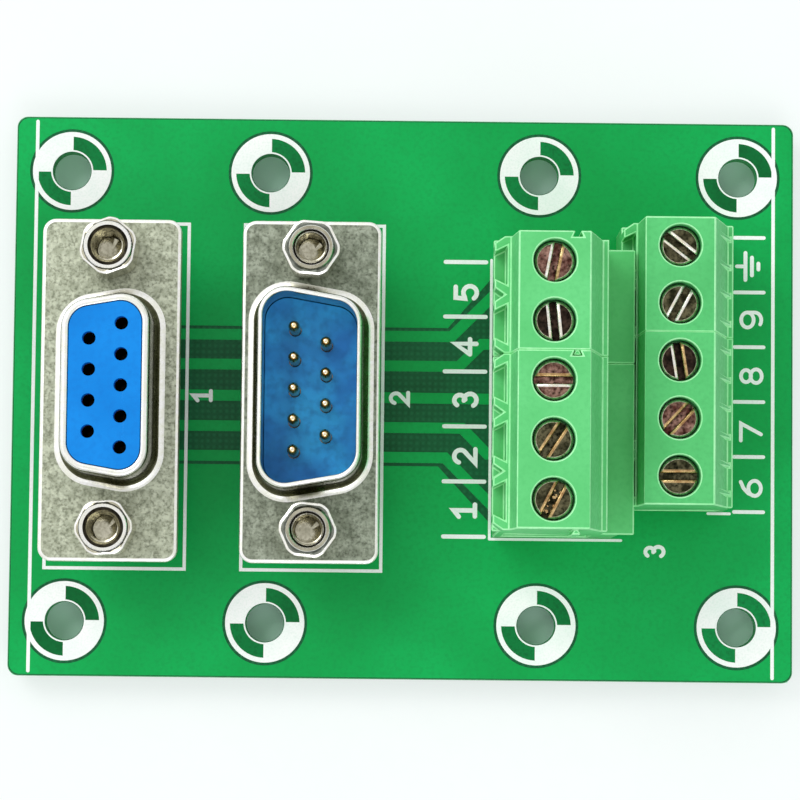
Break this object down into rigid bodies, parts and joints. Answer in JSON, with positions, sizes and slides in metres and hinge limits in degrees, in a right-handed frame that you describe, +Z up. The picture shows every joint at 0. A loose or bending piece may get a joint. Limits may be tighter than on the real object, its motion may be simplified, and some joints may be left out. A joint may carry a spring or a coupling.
{
  "type": "d-sub terminal block adapter",
  "caption": "Green circuit board that breaks a D socket and a D plug out to a two-tier screw terminal block with rising clamps.",
  "frame": {"origin": "on the underside of the board, in the middle of its eight mounting holes", "axes": "+X along the board towards the low terminal tier, +Y towards the earth terminal, +Z up from the board towards the connectors"},
  "size_m": [0.072, 0.0516, 0.0279],
  "materials": {
    "board": "glass-epoxy laminate under glossy green solder mask with white print",
    "shell_steel": "tin-plated pressed steel, dull and mottled",
    "nickel_hardware": "nickel-plated brass, bright",
    "socket_blue": "bright blue moulded polyester, satin",
    "plug_blue": "blue moulded polyester, satin",
    "gilt_contact": "thin gold flash over brass",
    "green_plastic": "light green moulded polyamide, satin",
    "clamp_steel": "zinc-plated steel with a brown and yellow passivation",
    "cage_brass": "nickel-washed brass",
    "tinned_copper": "tinned copper strip"
  },
  "bodies": {
    "adapter": {"circuit_board": "board", "socket_front_shell": "shell_steel", "socket_rear_shell": "shell_steel", "socket_front_insulator": "socket_blue", "socket_rear_insulator": "socket_blue", "socket_contacts": "gilt_contact", "socket_jackscrews": "nickel_hardware", "socket_spacers": "nickel_hardware", "plug_front_shell": "shell_steel", "plug_rear_shell": "shell_steel", "plug_front_insulator": "plug_blue", "plug_rear_insulator": "plug_blue", "plug_pins": "gilt_contact", "plug_jackscrews": "nickel_hardware", "plug_spacers": "nickel_hardware", "tall_housing_north": "green_plastic", "tall_housing_south": "green_plastic", "low_housing_north": "green_plastic", "low_housing_south": "green_plastic", "tall_contact_bars": "tinned_copper", "low_contact_bars": "tinned_copper"},
    "screw_5": {"clamp_screw_5": "clamp_steel"},
    "cage_5": {"rising_cage_5": "cage_brass"},
    "screw_4": {"clamp_screw_4": "clamp_steel"},
    "cage_4": {"rising_cage_4": "cage_brass"},
    "screw_3": {"clamp_screw_3": "clamp_steel"},
    "cage_3": {"rising_cage_3": "cage_brass"},
    "screw_2": {"clamp_screw_2": "clamp_steel"},
    "cage_2": {"rising_cage_2": "cage_brass"},
    "screw_1": {"clamp_screw_1": "clamp_steel"},
    "cage_1": {"rising_cage_1": "cage_brass"},
    "screw_earth": {"clamp_screw_earth": "clamp_steel"},
    "cage_earth": {"rising_cage_earth": "cage_brass"},
    "screw_9": {"clamp_screw_9": "clamp_steel"},
    "cage_9": {"rising_cage_9": "cage_brass"},
    "screw_8": {"clamp_screw_8": "clamp_steel"},
    "cage_8": {"rising_cage_8": "cage_brass"},
    "screw_7": {"clamp_screw_7": "clamp_steel"},
    "cage_7": {"rising_cage_7": "cage_brass"},
    "screw_6": {"clamp_screw_6": "clamp_steel"},
    "cage_6": {"rising_cage_6": "cage_brass"}
  },
  "joints": [
    {"name": "turn_5", "type": "hinge", "parent": "adapter", "child": "screw_5", "pos_m": [0.01276, 0.01016, 0.015], "axis": [0, 0, 1], "range_deg": [-1760, 0]},
    {"name": "rise_5", "type": "slide", "parent": "adapter", "child": "cage_5", "axis": [0, 0, 1], "range_m": [0, 0.0022]},
    {"name": "turn_4", "type": "hinge", "parent": "adapter", "child": "screw_4", "pos_m": [0.01276, 0.00508, 0.015], "axis": [0, 0, 1], "range_deg": [-1760, 0]},
    {"name": "rise_4", "type": "slide", "parent": "adapter", "child": "cage_4", "axis": [0, 0, 1], "range_m": [0, 0.0022]},
    {"name": "turn_3", "type": "hinge", "parent": "adapter", "child": "screw_3", "pos_m": [0.01276, 0, 0.015], "axis": [0, 0, 1], "range_deg": [-1760, 0]},
    {"name": "rise_3", "type": "slide", "parent": "adapter", "child": "cage_3", "axis": [0, 0, 1], "range_m": [0, 0.0022]},
    {"name": "turn_2", "type": "hinge", "parent": "adapter", "child": "screw_2", "pos_m": [0.01276, -0.00508, 0.015], "axis": [0, 0, 1], "range_deg": [-1760, 0]},
    {"name": "rise_2", "type": "slide", "parent": "adapter", "child": "cage_2", "axis": [0, 0, 1], "range_m": [0, 0.0022]},
    {"name": "turn_1", "type": "hinge", "parent": "adapter", "child": "screw_1", "pos_m": [0.01276, -0.01016, 0.015], "axis": [0, 0, 1], "range_deg": [-1760, 0]},
    {"name": "rise_1", "type": "slide", "parent": "adapter", "child": "cage_1", "axis": [0, 0, 1], "range_m": [0, 0.0022]},
    {"name": "turn_earth", "type": "hinge", "parent": "adapter", "child": "screw_earth", "pos_m": [0.02427, 0.0127, 0.015], "axis": [0, 0, 1], "range_deg": [-1760, 0]},
    {"name": "rise_earth", "type": "slide", "parent": "adapter", "child": "cage_earth", "axis": [0, 0, 1], "range_m": [0, 0.0022]},
    {"name": "turn_9", "type": "hinge", "parent": "adapter", "child": "screw_9", "pos_m": [0.02427, 0.00762, 0.015], "axis": [0, 0, 1], "range_deg": [-1760, 0]},
    {"name": "rise_9", "type": "slide", "parent": "adapter", "child": "cage_9", "axis": [0, 0, 1], "range_m": [0, 0.0022]},
    {"name": "turn_8", "type": "hinge", "parent": "adapter", "child": "screw_8", "pos_m": [0.02427, 0.00254, 0.015], "axis": [0, 0, 1], "range_deg": [-1760, 0]},
    {"name": "rise_8", "type": "slide", "parent": "adapter", "child": "cage_8", "axis": [0, 0, 1], "range_m": [0, 0.0022]},
    {"name": "turn_7", "type": "hinge", "parent": "adapter", "child": "screw_7", "pos_m": [0.02427, -0.00254, 0.015], "axis": [0, 0, 1], "range_deg": [-1760, 0]},
    {"name": "rise_7", "type": "slide", "parent": "adapter", "child": "cage_7", "axis": [0, 0, 1], "range_m": [0, 0.0022]},
    {"name": "turn_6", "type": "hinge", "parent": "adapter", "child": "screw_6", "pos_m": [0.02427, -0.00762, 0.015], "axis": [0, 0, 1], "range_deg": [-1760, 0]},
    {"name": "rise_6", "type": "slide", "parent": "adapter", "child": "cage_6", "axis": [0, 0, 1], "range_m": [0, 0.0022]}
  ],
  "couplings": [
    {"joint": "turn_5", "follows": "rise_5", "rad_per_m": -13963},
    {"joint": "turn_4", "follows": "rise_4", "rad_per_m": -13963},
    {"joint": "turn_3", "follows": "rise_3", "rad_per_m": -13963},
    {"joint": "turn_2", "follows": "rise_2", "rad_per_m": -13963},
    {"joint": "turn_1", "follows": "rise_1", "rad_per_m": -13963},
    {"joint": "turn_earth", "follows": "rise_earth", "rad_per_m": -13963},
    {"joint": "turn_9", "follows": "rise_9", "rad_per_m": -13963},
    {"joint": "turn_8", "follows": "rise_8", "rad_per_m": -13963},
    {"joint": "turn_7", "follows": "rise_7", "rad_per_m": -13963},
    {"joint": "turn_6", "follows": "rise_6", "rad_per_m": -13963}
  ]
}
